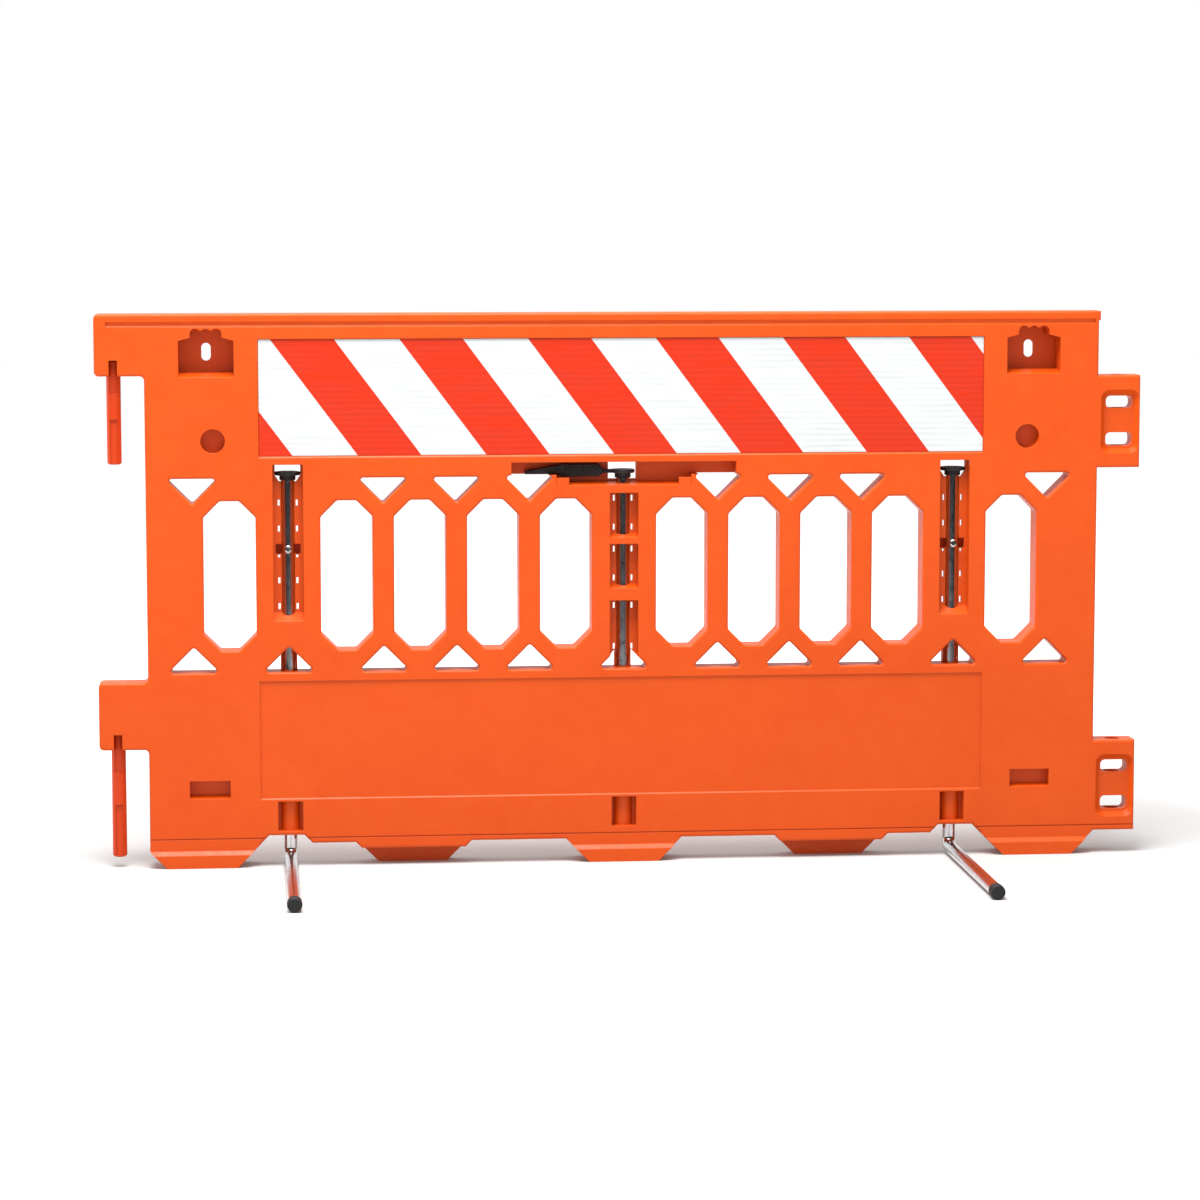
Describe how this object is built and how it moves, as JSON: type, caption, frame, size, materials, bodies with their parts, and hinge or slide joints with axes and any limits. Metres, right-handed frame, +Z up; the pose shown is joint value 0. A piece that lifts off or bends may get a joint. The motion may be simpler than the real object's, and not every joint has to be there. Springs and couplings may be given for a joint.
{
  "type": "pedestrian barricade",
  "caption": "Moulded longitudinal barricade panel with a striped reflective rail, swivelling tube legs and peg-and-knuckle end links.",
  "frame": {"origin": "on the ground under the middle of the panel, in the panel's mid plane", "axes": "+X along the panel towards the knuckle end, +Y to the rear, +Z up"},
  "size_m": [2.024, 0.535, 1.067],
  "materials": {
    "panel_orange": "satin moulded high-density polyethylene",
    "peg_orange": "satin moulded polyethylene, a little redder",
    "reflective_sheeting": "prismatic retroreflective film with orange and white slanted stripes",
    "zinc_tube": "bright zinc plated steel tube",
    "zinc_hardware": "bright zinc plated steel",
    "black_plastic": "black moulded nylon",
    "black_rubber": "black vinyl cap"
  },
  "bodies": {
    "panel": {"panel": "panel_orange", "front_sheeting": "reflective_sheeting", "rear_sheeting": "reflective_sheeting", "upper_peg": "peg_orange", "lower_peg": "peg_orange"},
    "left_leg": {"left_leg_tube": "zinc_tube", "left_leg_foot_cap": "black_rubber", "left_leg_head": "black_plastic", "left_leg_cross_bolt": "zinc_hardware", "left_leg_saddle_washers": "zinc_hardware", "left_leg_lock_nut": "zinc_hardware"},
    "right_leg": {"right_leg_tube": "zinc_tube", "right_leg_foot_cap": "black_rubber", "right_leg_head": "black_plastic", "right_leg_cross_bolt": "zinc_hardware", "right_leg_saddle_washers": "zinc_hardware", "right_leg_lock_nut": "zinc_hardware"},
    "middle_rod": {"middle_rod_tube": "zinc_tube", "middle_lever": "black_plastic", "middle_lever_pin": "zinc_hardware", "middle_rod_plug": "black_plastic"}
  },
  "joints": [
    {"name": "left_leg_swivel", "type": "hinge", "parent": "panel", "child": "left_leg", "pos_m": [-0.647, 0, 0.4], "axis": [0, 0, 1], "range_deg": [0, 90]},
    {"name": "right_leg_swivel", "type": "hinge", "parent": "panel", "child": "right_leg", "pos_m": [0.647, 0, 0.4], "axis": [0, 0, 1], "range_deg": [-90, 0]},
    {"name": "middle_rod_turn", "type": "hinge", "parent": "panel", "child": "middle_rod", "pos_m": [0, 0, 0.4], "axis": [0, 0, 1], "range_deg": [0, 180]}
  ]
}
